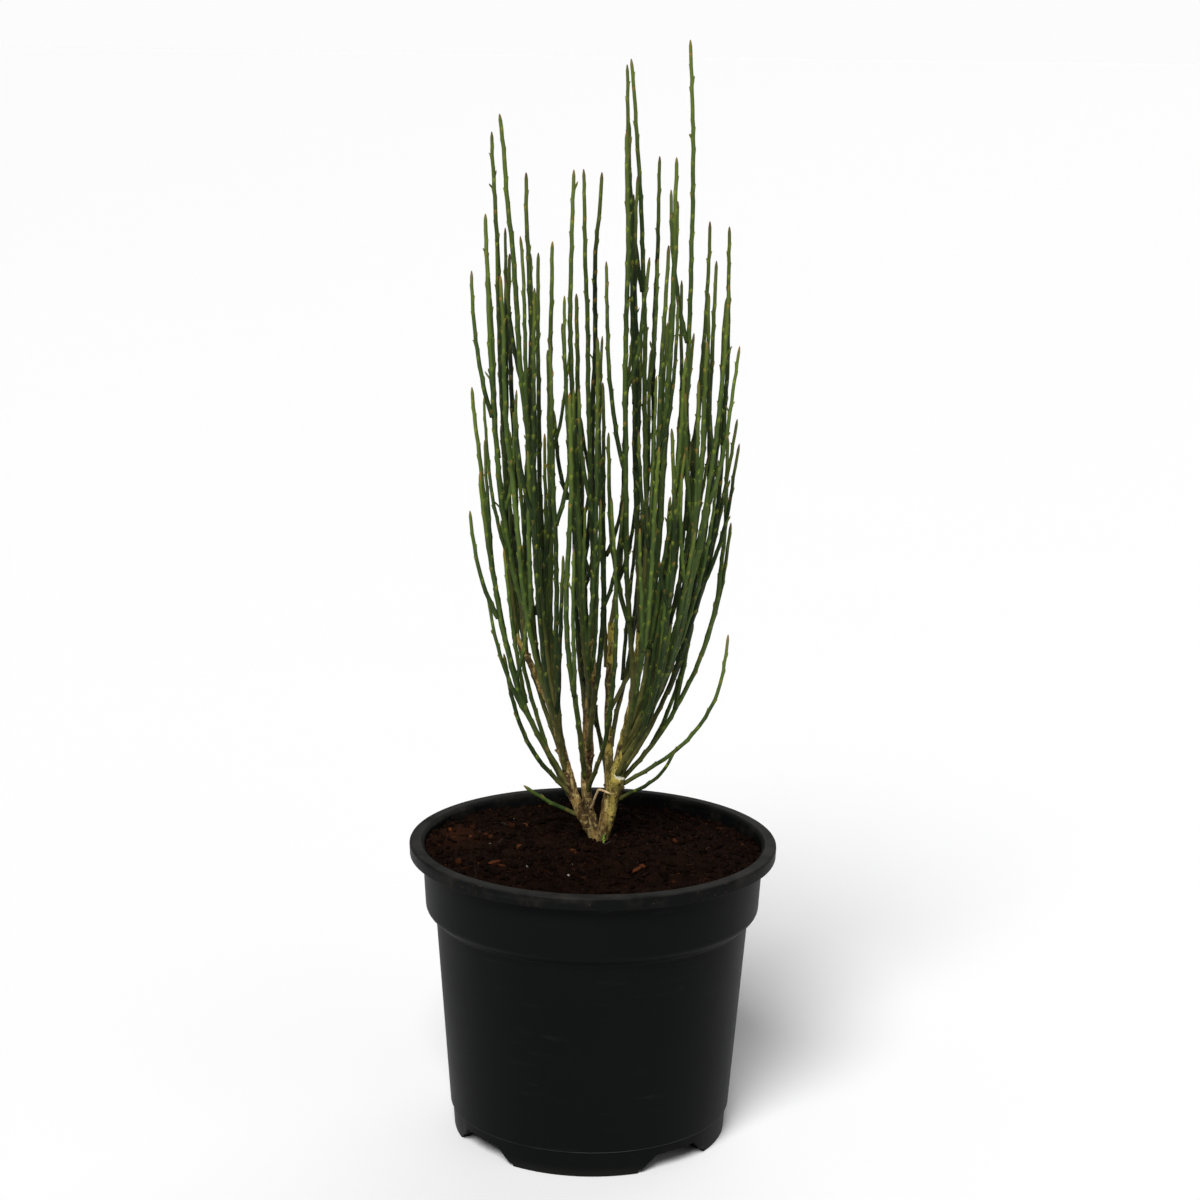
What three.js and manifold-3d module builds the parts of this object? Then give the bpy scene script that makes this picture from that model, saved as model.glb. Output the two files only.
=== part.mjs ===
// A young broom (Cytisus) growing in a black nursery container.
// Millimetres, +Z up. The origin is the centre of the pot's footprint, on the surface that it stands on.
//
// The container is one thin moulded shell: a turned-down lip, a wide collar, a shoulder, a tapered body and
// four feet that two crossed channels leave in its base. Compost fills it. The plant is a root crown, four
// woody stems that rise from it, and long green branches that leave the stems, sweep outwards and stand up.
import * as THREE from "three";
import { mergeVertices } from "three/addons/utils/BufferGeometryUtils.js";
import Module from "manifold-3d";

const wasm = await Module();
wasm.setup();

// ---------------------------------------------------------------- driving dimensions

const GAP = 0.3; // air left between two pieces that touch
const OVERCUT = 5; // how far a cutter runs past what it cuts

const POT = {
  height: 156,
  rimRadius: 95,
  wall: 1.4,
  draft: 0.0775, // how much the wall's radius grows with each millimetre of height
  lipWidth: 6.4,
  lipDrop: 6.6,
  lipRound: 1.4,
  lipTaper: 0.3, // the lip is this much narrower at its lower edge
  collarDepth: 35.4, // from the top of the lip to the shoulder
  shoulderStep: 4.9,
  shoulderRun: 4.2,
  ridgeHeight: 13.6, // a moulded edge above the feet
  ridgeStep: 1.1,
  facets: 40,
};

const FEET = {
  turn: 39, // degrees from the front to the first channel between two feet
  channelHeight: 9,
  halfWidthAtGround: 22.2,
  halfWidthAtRoof: 12,
  padHeight: 1.8, // each foot stands on a slightly smaller pad
  padStep: 2,
};

const DRAIN = { radius: 4.5, sides: 12, reach: [0, 27, 54] }; // holes in the channels' roofs

// The soil's edge is this far below the lip. It rises to a mound whose flat top is a share of its radius.
const SOIL = { drop: 6.8, mound: 3.6, moundShare: 0.35 };

const CROWN = { x: 4, y: 8, radius: 4.2, above: 2, taproot: 48, taprootRadius: 1.4, sides: 10 };

const PLANT = { growth: 1, spread: 1 }; // height and reach, as shares of this plant's own

const TWIG = {
  baseRadius: 1.6,
  neckRadius: 1.15, // just under the tip
  tipRadius: 0.4,
  tipLength: 5,
  sides: 5, // a broom's stem has five angles
  segments: 7,
};
// A side shoot's length is a share of what its branch has left above it, and takes one of a few steps.
const SHOOT = { baseRadius: 1.2, neckRadius: 0.95, segments: 4, shortest: 0.42, longer: 0.11, steps: 4 };
// It stands this far from its branch. Where it bends, runs and ends are shares of that and of its length.
const SWING = { apart: 11, bendAlong: 0.25, bendOut: 0.6, tipAlong: 0.5, runBack: 0.4, runOut: 0.15 };
const STEM = { sides: 8, segments: 9 };

// A branch bows out to its upright run. Heights and reach are shares of its rise and of its way out.
const BOW = { bendHeight: 0.2, bendReach: 0.7, runHeight: 0.5, firstSteps: 0.55 };

// How twigs keep out of each other's way.
const ROOM = {
  clearance: 0.5, // least air between two twigs
  rootLength: 11, // a twig may touch what it grows from over this first length
  reach: 70, // how far along a twig a push is felt
  stiffLength: 40, // a twig gives less, the nearer it is to its root
  rounds: 80,
  firmness: 0.55, // the share of a missing distance that one push makes good
  least: 0.02, // and the least that it moves
  lift: 0.2, // pushes are mostly sideways
};
const GOLDEN_TURN = 2.4; // radians from one shoot's direction to the next

// ---------------------------------------------------------------- the plant's habit

// Heights are above the soil at the crown, and x and y are from the pot's axis.
// A stem is a list of [x, y, height, radius].
const STEMS = {
  right: [
    [4.5, 7.5, -1, 2.4],
    [6.2, 6.6, 13, 3],
    [9.4, 5.6, 30, 3],
    [14.7, 5, 51, 2.7],
    [20, 5, 80, 2.3],
    [24, 5, 128, 1.9],
  ],
  left: [
    [1.8, 8, -1, 2.3],
    [-8.1, 7, 18, 2.8],
    [-15.7, 5, 45, 2.3],
    [-22, 3, 71, 1.9],
    [-41, -3, 112, 1.6],
  ],
  centre: [
    [3, 10, -1, 2.3],
    [-3.5, 14, 20, 2.7],
    [-3.6, 14, 45, 3.1],
    [-2.6, 13, 75, 2.3],
    [-1, 12, 125, 1.8],
  ],
  rear: [
    [5.5, 10, -1, 2.2],
    [8, 19, 22, 2.3],
    [7, 30, 60, 2],
    [8, 38, 110, 1.6],
  ],
};

// The right stem grew from the side of an older one, which was cut off just above it.
const PRUNED = [
  [4.8, 7, -1, 3],
  [7.2, 5, 13, 3.9],
  [9.6, 3.9, 25, 3.9],
  [12.6, 2.8, 36, 3.8],
];

// A branch is [share of the stem where it leaves, x and y of its upright run, x, y and height of its tip,
// number of side shoots].
const BRANCHES = {
  right: [
    [0.33, 36, -12, 41, -14, 56, 0],
    [0.4, 66, -4, 67, -8, 114, 0],
    [0.39, 69, 9, 66, 14, 210, 3],
    [0.42, 69, -12, 63, -8, 317, 4],
    [0.46, 42, -50, 36, -50, 224, 2],
    [0.5, 62, 26, 64, 24, 280, 4],
    [0.6, 27, -52, 29, -54, 216, 1],
    [0.52, 57, -30, 62, -28, 291, 4],
    [0.54, 44, 46, 42, 46, 286, 2],
    [0.58, 51, -42, 47, -46, 248, 2],
    [0.56, 54, 30, 54, 30, 317, 3],
    [0.62, 53, -16, 52, -20, 262, 3],
    [0.65, 51, 6, 42, 5, 408, 2],
    [0.64, 36, -26, 35, -22, 352, 2],
    [0.68, 36, 36, 38, 38, 326, 3],
    [0.72, 29, -40, 31, -42, 311, 2],
    [0.8, 13, -28, 11, -27, 365, 3],
    [0.88, 29, 18, 28, 16, 350, 2],
    [0.94, 17, -12, 11, -12, 396, 3],
    [1, 25, 2, 14, 0, 397, 2],
    [0.48, 57, -2, 57, 2, 300, 4],
  ],
  left: [
    [0.22, -28, 0, -35, -3, 32, 0],
    [0.29, -55, 4, -64, 3, 235, 3],
    [0.34, -42, -6, -46, -10, 102, 0],
    [0.38, -51, -18, -58, -22, 196, 3],
    [0.45, -34, -46, -31, -44, 290, 2],
    [0.48, -52, 24, -58, 25, 309, 4],
    [0.53, -32, 36, -32, 38, 299, 2],
    [0.56, -21, -32, -24, -32, 263, 1],
    [0.62, -27, 18, -24, 16, 308, 2],
    [0.68, -43, -28, -49, -28, 294, 2],
    [0.74, -33, -18, -50, -14, 371, 3],
    [0.8, -54, -6, -57, -8, 323, 3],
    [0.86, -35, -10, -36, -30, 345, 2],
    [0.93, -45, 28, -46, 31, 300, 2],
    [1, -49, 10, -54, 12, 361, 2],
  ],
  centre: [
    [0.3, 14, -34, 7, -38, 187, 0],
    [0.38, -14, -46, -14, -50, 241, 1],
    [0.46, -8, 36, -12, 36, 279, 1],
    [0.52, 4, -36, -2, -36, 267, 2],
    [0.6, -13, 34, -20, 42, 263, 2],
    [0.68, 0, -50, -1, -54, 251, 2],
    [0.76, -14, -24, -14, -26, 346, 1],
    [0.84, -14, 18, -11, 22, 212, 1],
    [0.92, -4, -8, -10, -10, 344, 1],
    [1, -5, 12, 0, 14, 341, 1],
  ],
  rear: [
    [0.4, -8, 54, -10, 56, 205, 2],
    [0.55, 26, 56, 27, 58, 250, 2],
    [0.7, 40, 54, 42, 60, 214, 1],
    [0.85, 3, 44, 1, 48, 232, 2],
    [1, 14, 50, 17, 54, 262, 1],
  ],
};

const DRY_STALK = {
  radius: 0.6,
  path: [
    [-2.6, 13, 15],
    [-0.6, 8, 18],
    [0.6, 3, 24],
    [2.6, 0.4, 30],
    [8.4, -2.4, 28.4],
  ],
};
const BUD = { radius: 1.5, height: 5, aside: 1.6 }; // aside of the crown's middle

// ---------------------------------------------------------------- colours

const COLOURS = {
  pot: [0x17181a, 0.42],
  soil: [0x2a1712, 0.95],
  crown: [0x7b6436, 0.8],
  stem: [0x8a7446, 0.78],
  twig: [0x3f5c2a, 0.55],
  straw: [0xb58e5c, 0.8],
  bud: [0x6f9a2c, 0.5],
};

// ---------------------------------------------------------------- solids and meshes

/** A closed geometry as a manifold-3d solid. */
function solidOf(geometry) {
  const bare = geometry.clone();
  bare.deleteAttribute("normal");
  bare.deleteAttribute("uv");
  const merged = mergeVertices(bare, 1e-4);
  const vertProperties = merged.attributes.position.array;
  const triVerts = new Uint32Array(merged.index.array);
  return new wasm.Manifold(new wasm.Mesh({ numProp: 3, vertProperties, triVerts }));
}

function geometryOf(solid) {
  const mesh = solid.getMesh();
  const stride = mesh.numProp;
  const positions = new Float32Array(mesh.numVert * 3);
  for (let i = 0; i < mesh.numVert; i++) {
    positions.set(mesh.vertProperties.subarray(i * stride, i * stride + 3), i * 3);
  }
  const geometry = new THREE.BufferGeometry();
  geometry.setAttribute("position", new THREE.BufferAttribute(positions, 3));
  geometry.setIndex(new THREE.BufferAttribute(mesh.triVerts, 1));
  geometry.computeVertexNormals();
  return geometry;
}

function meshOf(name, solid, [color, roughness]) {
  const material = new THREE.MeshStandardMaterial({ color, roughness, metalness: 0 });
  const mesh = new THREE.Mesh(geometryOf(solid), material);
  mesh.name = name;
  return mesh;
}

/** Turns a profile of [radius, height] about Z. It runs outwards along the bottom and back along the top. */
function turned(profile, facets) {
  const points = profile.map(([radius, height]) => new THREE.Vector2(radius, height));
  const lathe = new THREE.LatheGeometry(points, facets);
  lathe.rotateX(Math.PI / 2);
  return solidOf(lathe);
}

/** A tube of changing radius along a curve, with a ring of corners at each given point. */
function taperedTube(points, radii, sides) {
  const corners = Array.from({ length: sides }, (_, k) => {
    const turn = (2 * Math.PI * k) / sides;
    return new THREE.Vector2(Math.cos(turn), Math.sin(turn));
  });
  const path = new THREE.CatmullRomCurve3(points);
  path.getUtoTmapping = (share) => share; // steps by point, not by length
  const section = new THREE.Shape(corners);
  const steps = points.length - 1;
  const tube = new THREE.ExtrudeGeometry(section, { steps, extrudePath: path, bevelEnabled: false });
  const position = tube.attributes.position;
  const corner = new THREE.Vector3();
  for (let i = 0; i < position.count; i++) {
    corner.fromBufferAttribute(position, i);
    const away = points.map((point) => point.distanceTo(corner));
    const ring = away.indexOf(Math.min(...away));
    corner.sub(points[ring]).multiplyScalar(radii[ring]).add(points[ring]);
    position.setXYZ(i, corner.x, corner.y, corner.z);
  }
  return solidOf(tube);
}

/** The solid less every neighbour that it would touch. The neighbours come as solids grown by the gap. */
function clearOf(solid, grownNeighbours) {
  return grownNeighbours.reduce((left, neighbour) => left.subtract(neighbour), solid);
}

// ---------------------------------------------------------------- pot and soil

const lipBottom = POT.height - POT.lipDrop;
const shoulderTop = POT.height - POT.collarDepth;
const shoulderBottom = shoulderTop - POT.shoulderRun;
const collarTopRadius = POT.rimRadius - POT.lipWidth;

/** The outside radius of the wall under the lip, at a height. */
function wallRadius(height) {
  const collar = collarTopRadius - POT.draft * (lipBottom - height);
  if (height >= shoulderTop) return collar;
  const down = Math.min((shoulderTop - height) / POT.shoulderRun, 1);
  const body = collar - POT.shoulderStep * down;
  return height >= POT.ridgeHeight ? body : body - POT.ridgeStep;
}

/** Wall stations from the floor up, drawn in by an inset. Both the pot's cavity and the soil follow them. */
function wallProfile(from, to, inset) {
  const underRidge = POT.ridgeHeight - 0.01; // just under it, so that the step stays sharp
  const overRidge = POT.ridgeHeight + POT.ridgeStep;
  const heights = [from, underRidge, overRidge, shoulderBottom, shoulderTop, to];
  return heights.map((height) => [wallRadius(height) - inset, height]);
}

/** The two crossed channels under the base, grown by a wall or a clearance. */
function channels(grow) {
  const { halfWidthAtGround, halfWidthAtRoof, padHeight, padStep, channelHeight, turn } = FEET;
  const half = [
    [halfWidthAtGround + grow, -OVERCUT],
    [halfWidthAtGround + grow, padHeight + grow],
    [halfWidthAtGround - padStep + grow, padHeight + grow],
    [halfWidthAtRoof + grow, channelHeight + grow],
  ];
  const outline = [...half, ...half.map(([across, height]) => [-across, height]).reverse()];
  const shape = new THREE.Shape(outline.map(([across, height]) => new THREE.Vector2(across, height)));
  const length = 2 * POT.rimRadius;
  const made = [0, 90].map((quarter) => {
    const bar = new THREE.ExtrudeGeometry(shape, { depth: length, bevelEnabled: false });
    bar.translate(0, 0, -length / 2);
    bar.rotateX(Math.PI / 2);
    bar.rotateZ(THREE.MathUtils.degToRad(turn + quarter));
    return solidOf(bar);
  });
  return made[0].add(made[1]);
}

function drainHoles() {
  const { radius, sides, reach } = DRAIN;
  const directions = [0, 90, 180, 270].map((quarter) => THREE.MathUtils.degToRad(FEET.turn - 90 + quarter));
  const places = reach.flatMap((out) => (out === 0 ? [[0, 0]] : directions.map((turn) => [out, turn])));
  return places.map(([out, turn]) => {
    const drill = new THREE.CylinderGeometry(radius, radius, POT.wall + 2 * OVERCUT, sides);
    drill.rotateX(Math.PI / 2);
    drill.translate(out * Math.cos(turn), out * Math.sin(turn), FEET.channelHeight);
    return solidOf(drill);
  });
}

/** A rounded edge from a wall up to a top face. It turns outwards with a side of 1, and inwards with -1. */
function roundedEdge(radius, height, round, side) {
  return [0, 45, 90].map((degrees) => {
    const turn = THREE.MathUtils.degToRad(degrees);
    return [radius + side * round * (1 - Math.cos(turn)), height - round * (1 - Math.sin(turn))];
  });
}

function makePot() {
  const { wall, height, rimRadius, lipRound, lipTaper, facets } = POT;
  const lip = [
    [collarTopRadius, height - wall],
    [rimRadius - wall, height - wall],
    [rimRadius - wall, lipBottom],
    [rimRadius - lipTaper, lipBottom],
    ...roundedEdge(rimRadius, height, lipRound, -1),
  ];
  const outer = turned([[0, 0], ...wallProfile(0, lipBottom, 0), ...lip, [0, height]], facets);
  const mouth = roundedEdge(collarTopRadius - wall, height, lipRound, 1);
  const overMouth = [
    [mouth.at(-1)[0], height + OVERCUT],
    [0, height + OVERCUT],
  ];
  const cavity = turned([[0, wall], ...wallProfile(wall, lipBottom, wall), ...mouth, ...overMouth], facets);
  const shell = outer.subtract(channels(0)).subtract(cavity.subtract(channels(wall)));
  return clearOf(shell, drainHoles());
}

const soilEdge = POT.height - SOIL.drop;
const soilTop = soilEdge + SOIL.mound;

function makeSoil() {
  const inset = POT.wall + GAP;
  const edgeRadius = wallRadius(soilEdge) - inset;
  const dome = [0.9, 0.7, SOIL.moundShare].map((share) => {
    const fall = THREE.MathUtils.smoothstep(share, SOIL.moundShare, 1);
    return [edgeRadius * share, soilTop - SOIL.mound * fall];
  });
  const profile = [[0, inset], ...wallProfile(inset, soilEdge, inset), ...dome, [0, soilTop]];
  return geometryOf(turned(profile, POT.facets).subtract(channels(inset)));
}

// ---------------------------------------------------------------- the plant's lines

// The plant is modelled about its crown, where it meets the soil, and its group is placed there.
const crownPlace = new THREE.Vector3(CROWN.x, CROWN.y, soilTop);

function plantPoint(x, y, height) {
  return new THREE.Vector3((x - CROWN.x) * PLANT.spread, (y - CROWN.y) * PLANT.spread, height * PLANT.growth);
}

/** A stem's line and radii, sampled evenly. */
function stemLine(stations) {
  const curve = new THREE.CatmullRomCurve3(stations.map(([x, y, height]) => plantPoint(x, y, height)));
  const points = [];
  const radii = [];
  for (let i = 0; i <= STEM.segments; i++) {
    const share = i / STEM.segments;
    const station = share * (stations.length - 1);
    const low = Math.min(Math.floor(station), stations.length - 2);
    points.push(curve.getPoint(share));
    radii.push(THREE.MathUtils.lerp(stations[low][3], stations[low + 1][3], station - low));
  }
  return { curve, points, radii, isStem: true };
}

/** A twig's radii: an even taper to the neck, then a short point. */
function twigRadii(points, baseRadius, neckRadius) {
  const last = points.length - 1;
  return points.map((_, i) => {
    if (i === last) return TWIG.tipRadius;
    return THREE.MathUtils.lerp(baseRadius, neckRadius, i / (last - 1));
  });
}

/** Samples a curve into segments that lengthen upwards, then adds the short tip. */
function twigPoints(curve, segments) {
  const length = curve.getLength();
  const body = 1 - TWIG.tipLength / length;
  const points = [];
  for (let i = 0; i < segments; i++) {
    const even = i / (segments - 1);
    points.push(curve.getPointAt(body * THREE.MathUtils.lerp(even ** 2, even, BOW.firstSteps)));
  }
  points.push(curve.getPointAt(1));
  return points;
}

/** A branch leaves its stem outwards, bends up into an upright run and ends at its tip. */
function branchTwig(stem, [share, runX, runY, tipX, tipY, tipHeight]) {
  const root = stem.curve.getPoint(share);
  const tip = plantPoint(tipX, tipY, tipHeight);
  const rise = tip.z - root.z;
  const run = plantPoint(runX, runY, 0).setZ(root.z + rise * BOW.runHeight);
  const bend = root.clone().lerp(run, BOW.bendReach).setZ(root.z + rise * BOW.bendHeight);
  const points = twigPoints(new THREE.CubicBezierCurve3(root, bend, run, tip), TWIG.segments);
  return { points, radii: twigRadii(points, TWIG.baseRadius, TWIG.neckRadius), from: stem, shoots: [] };
}

/** A side shoot leaves the branch at one of its points, sets off to one side and then stands beside it. */
function shootTwig(branch, place, turn, length) {
  const root = branch.points[place].clone();
  const along = branch.points[place + 1].clone().sub(root).normalize();
  const out = new THREE.Vector3(Math.cos(turn), Math.sin(turn), 0).multiplyScalar(SWING.apart);
  const ahead = root.clone().addScaledVector(along, length * SWING.bendAlong);
  const bend = ahead.addScaledVector(out, SWING.bendOut);
  const tip = root.clone().add(out).addScaledVector(along, length * SWING.tipAlong).setZ(root.z + length);
  const run = tip.clone().lerp(bend, SWING.runBack).addScaledVector(out, SWING.runOut);
  const points = twigPoints(new THREE.CubicBezierCurve3(root, bend, run, tip), SHOOT.segments);
  return { points, radii: twigRadii(points, SHOOT.baseRadius, SHOOT.neckRadius), from: branch, place };
}

// ---------------------------------------------------------------- room to grow

/** The nearest points of two segments, as shares along each. */
function nearest(a0, a1, b0, b1) {
  const u = a1.clone().sub(a0);
  const v = b1.clone().sub(b0);
  const w = a0.clone().sub(b0);
  const a = u.dot(u);
  const b = u.dot(v);
  const c = v.dot(v);
  const d = u.dot(w);
  const e = v.dot(w);
  const clamp = (share) => THREE.MathUtils.clamp(share, 0, 1);
  const scale = a * c - b * b;
  let s = scale > 1e-9 ? clamp((b * e - c * d) / scale) : 0;
  const t = clamp((b * s + e) / c);
  s = clamp((b * t - d) / a);
  return [s, t];
}

/** Shifts a twig near one of its places, fading away along it and to nothing at its root. */
function nudge(twig, place, push) {
  const from = twig.points[0].clone();
  const centre = twig.points[place].clone();
  const reach = Math.min(ROOM.reach, centre.distanceTo(from));
  for (let i = 1; i < twig.points.length; i++) {
    const point = twig.points[i];
    const felt = Math.exp(-((point.distanceTo(centre) / reach) ** 2));
    const loose = Math.min(point.distanceTo(from) / ROOM.stiffLength, 1);
    const move = push.clone().multiplyScalar(felt * loose);
    point.add(move);
    const carried = (twig.shoots ?? []).filter((shoot) => shoot.place === i);
    carried.forEach((shoot) => shoot.points.forEach((other) => other.add(move)));
  }
}

/** Moves twigs apart, a little at a time, until none is closer to another or to a stem than the clearance. */
function spreadApart(twigs, stems) {
  const lines = [...twigs, ...stems];
  for (let round = 0; round < ROOM.rounds; round++) {
    let moved = 0;
    for (let i = 0; i < twigs.length; i++) {
      for (let j = i + 1; j < lines.length; j++) moved += partPair(twigs[i], lines[j]);
    }
    if (moved === 0) return;
  }
}

/** True near the root of a line, where it can't move aside. Nothing moves a stem. */
function isHeld(line, point) {
  return line.isStem || point.distanceTo(line.points[0]) < ROOM.rootLength;
}

/** True where one line grows from the other, or where neither can move aside. */
function mayTouch(one, other, oneHeld, otherHeld) {
  if (one.from === other) return oneHeld;
  if (other.from === one) return otherHeld;
  return oneHeld && otherHeld;
}

/** Parts two lines wherever their tubes are too close, and counts the places that moved. */
function partPair(one, other) {
  let moved = 0;
  for (let i = 0; i + 1 < one.points.length; i++) {
    for (let j = 0; j + 1 < other.points.length; j++) {
      const [a0, a1] = [one.points[i], one.points[i + 1]];
      const [b0, b1] = [other.points[j], other.points[j + 1]];
      const widest = (line, k) => Math.max(line.radii[k], line.radii[k + 1]);
      const wanted = widest(one, i) + widest(other, j) + ROOM.clearance;
      if (Math.min(a0.z, a1.z) - Math.max(b0.z, b1.z) > wanted) continue;
      if (Math.min(b0.z, b1.z) - Math.max(a0.z, a1.z) > wanted) continue;
      const [s, t] = nearest(a0, a1, b0, b1);
      const p = a0.clone().lerp(a1, s);
      const q = b0.clone().lerp(b1, t);
      const distance = p.distanceTo(q);
      const oneHeld = isHeld(one, p);
      const otherHeld = isHeld(other, q);
      if (distance >= wanted || mayTouch(one, other, oneHeld, otherHeld)) continue;
      const push = p.sub(q);
      push.z *= ROOM.lift;
      if (push.length() < ROOM.least) push.set(1, 0, 0);
      push.setLength((wanted - distance) * ROOM.firmness + ROOM.least);
      if (!oneHeld) nudge(one, s < 0.5 ? i : i + 1, push);
      if (!otherHeld) nudge(other, t < 0.5 ? j : j + 1, push.negate());
      moved++;
    }
  }
  return moved;
}

// ---------------------------------------------------------------- the plant's solids

/** The tube along a line, or the same tube grown all round and at both ends. */
function tubeOf({ points, radii }, sides, grow = 0) {
  const grownRadii = radii.map((radius) => radius + grow);
  const grownPoints = points.map((point) => point.clone());
  grownPoints[0].add(points[0].clone().sub(points[1]).setLength(grow));
  grownPoints.at(-1).add(points.at(-1).clone().sub(points.at(-2)).setLength(grow));
  return taperedTube(grownPoints, grownRadii, sides);
}

/** Tubes along several lines, as one solid. */
function joined(lines, sides, grow = 0) {
  return lines.map((line) => tubeOf(line, sides, grow)).reduce((whole, tube) => whole.add(tube));
}

function crownLine() {
  const { radius, above, taproot, taprootRadius } = CROWN;
  const stations = [
    [-taproot, taprootRadius],
    [-taproot * 0.45, radius * 0.55],
    [-6, radius * 0.85],
    [-1, radius],
    [above, radius * 0.8],
  ];
  return {
    points: stations.map(([height]) => new THREE.Vector3(0, 0, height)),
    radii: stations.map(([, stationRadius]) => stationRadius),
  };
}

function makeStalk() {
  const points = DRY_STALK.path.map(([x, y, height]) => plantPoint(x, y, height));
  return taperedTube(points, points.map(() => DRY_STALK.radius), TWIG.sides);
}

function makeBud() {
  const bud = new THREE.SphereGeometry(BUD.radius, 8, 6);
  bud.rotateX(Math.PI / 2);
  bud.scale(1, 1, BUD.height / (2 * BUD.radius));
  const reach = CROWN.radius + BUD.radius + GAP;
  bud.translate(BUD.aside, -reach, GAP + BUD.height / 2);
  return solidOf(bud);
}

function makePlant() {
  const meshes = [];
  const crown = crownLine();
  meshes.push(meshOf("root_crown", tubeOf(crown, CROWN.sides), COLOURS.crown));

  const stems = {};
  for (const [name, stations] of Object.entries(STEMS)) stems[name] = stemLine(stations);
  const pruned = stemLine(PRUNED);
  const grown = [tubeOf(crown, CROWN.sides, GAP)];
  for (const [name, line] of Object.entries(stems)) {
    const lines = name === "right" ? [line, pruned] : [line];
    meshes.push(meshOf(`stem_${name}`, clearOf(joined(lines, STEM.sides), grown), COLOURS.stem));
    grown.push(joined(lines, STEM.sides, GAP));
  }
  const buried = [...grown];

  const twigs = [];
  const branches = [];
  for (const [name, rows] of Object.entries(BRANCHES)) {
    rows.forEach((row, i) => {
      const branch = branchTwig(stems[name], row);
      const shootCount = row.at(-1);
      for (let k = 0; k < shootCount; k++) {
        const place = 1 + ((i + 3 * k) % SHOOT.steps); // on different points of neighbouring branches
        const left = branch.points.at(-1).z - branch.points[place].z;
        const length = left * (SHOOT.shortest + SHOOT.longer * ((i + k) % SHOOT.steps));
        const turn = GOLDEN_TURN * (i + 1) + Math.PI * k;
        branch.shoots.push(shootTwig(branch, place, turn, length));
      }
      branches.push({ name: `branch_${name}_${i + 1}`, branch });
      twigs.push(branch, ...branch.shoots);
    });
  }
  spreadApart(twigs, [...Object.values(stems), pruned]);

  for (const { name, branch } of branches) {
    const lines = [branch, ...branch.shoots];
    meshes.push(meshOf(name, clearOf(joined(lines, TWIG.sides), grown), COLOURS.twig));
    grown.push(joined(lines, TWIG.sides, GAP));
  }

  meshes.push(meshOf("dry_stalk", clearOf(makeStalk(), grown), COLOURS.straw));
  meshes.push(meshOf("basal_bud", clearOf(makeBud(), buried), COLOURS.bud));
  return { meshes, buried };
}

// ---------------------------------------------------------------- the whole part

const { meshes, buried } = makePlant();
const plant = new THREE.Group();
plant.name = "plant";
plant.position.copy(crownPlace);
plant.add(...meshes);

// The soil is cut about the crown too, where the roots and the feet of the stems enter it.
const soilAboutCrown = makeSoil().translate(...crownPlace.clone().negate());
const soil = meshOf("soil", clearOf(solidOf(soilAboutCrown), buried), COLOURS.soil);
soil.position.copy(crownPlace);

const container = new THREE.Group();
container.name = "container";
container.add(meshOf("pot", makePot(), COLOURS.pot), soil);

const group = new THREE.Group();
group.name = "potted_broom";
group.add(container, plant);

export default group;
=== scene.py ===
"""Looks for a young broom (Cytisus) in a black nursery pot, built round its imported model.

Metres, +Z up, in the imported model's frame: the origin is under the middle of the pot, and -Y is the front.
"""

import math
import random

import bmesh
import bpy
import numpy as np
from mathutils import Matrix, Vector, noise


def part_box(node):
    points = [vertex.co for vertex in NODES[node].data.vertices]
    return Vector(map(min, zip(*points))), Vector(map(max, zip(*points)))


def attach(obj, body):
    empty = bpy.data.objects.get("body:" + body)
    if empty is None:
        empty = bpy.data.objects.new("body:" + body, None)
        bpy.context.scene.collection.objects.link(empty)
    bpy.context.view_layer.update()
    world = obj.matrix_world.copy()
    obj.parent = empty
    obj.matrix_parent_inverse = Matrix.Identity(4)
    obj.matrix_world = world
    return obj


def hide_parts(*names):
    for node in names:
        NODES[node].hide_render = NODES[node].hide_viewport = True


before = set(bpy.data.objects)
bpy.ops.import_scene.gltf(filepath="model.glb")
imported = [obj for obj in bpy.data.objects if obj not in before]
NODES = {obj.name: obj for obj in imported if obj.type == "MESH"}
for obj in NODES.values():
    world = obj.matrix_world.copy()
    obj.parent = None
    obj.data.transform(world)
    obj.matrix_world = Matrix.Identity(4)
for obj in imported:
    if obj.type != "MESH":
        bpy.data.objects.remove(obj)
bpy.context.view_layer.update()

MM = 0.001
SEED = 7

# ---- places taken from the frame

BRANCHES = sorted(name for name in NODES if name.startswith("branch_"))
WOOD = sorted(name for name in NODES if name.startswith("stem_")) + ["root_crown"]

_, pot_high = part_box("pot")
_, soil_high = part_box("soil")
crown_low, crown_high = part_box("root_crown")
RIM_HEIGHT = pot_high.z
RIM_RADIUS = pot_high.x
SOIL_TOP = soil_high.z
CROWN = (crown_low + crown_high) / 2  # only its x and y are used

# ---- driving sizes

WALL = 1.4 * MM
DRAFT = 0.0775  # how much the pot's radius grows with its height
LIP_WIDTH = 6.4 * MM
LIP_DROP = 6.6 * MM
LIP_ROUND = 1.4 * MM
LIP_BOTTOM = RIM_HEIGHT - LIP_DROP
COLLAR_RADIUS = RIM_RADIUS - LIP_WIDTH
SHOULDER_TOP = RIM_HEIGHT - 35.4 * MM
SHOULDER_BOTTOM = SHOULDER_TOP - 4.2 * MM
SHOULDER_STEP = 4.9 * MM
RIDGE_HEIGHT = 13.6 * MM
RIDGE_STEP = 1.1 * MM
POT_SIDES = 192

CHANNEL_TURN = math.radians(39)
CHANNEL_HEIGHT = 9 * MM
CHANNEL_AT_GROUND = 22.2 * MM
CHANNEL_AT_ROOF = 12 * MM
PAD_HEIGHT = 1.8 * MM
PAD_STEP = 2 * MM
DRAIN_RADIUS = 4.5 * MM
DRAIN_REACH = (0, 27 * MM, 54 * MM)

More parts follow.
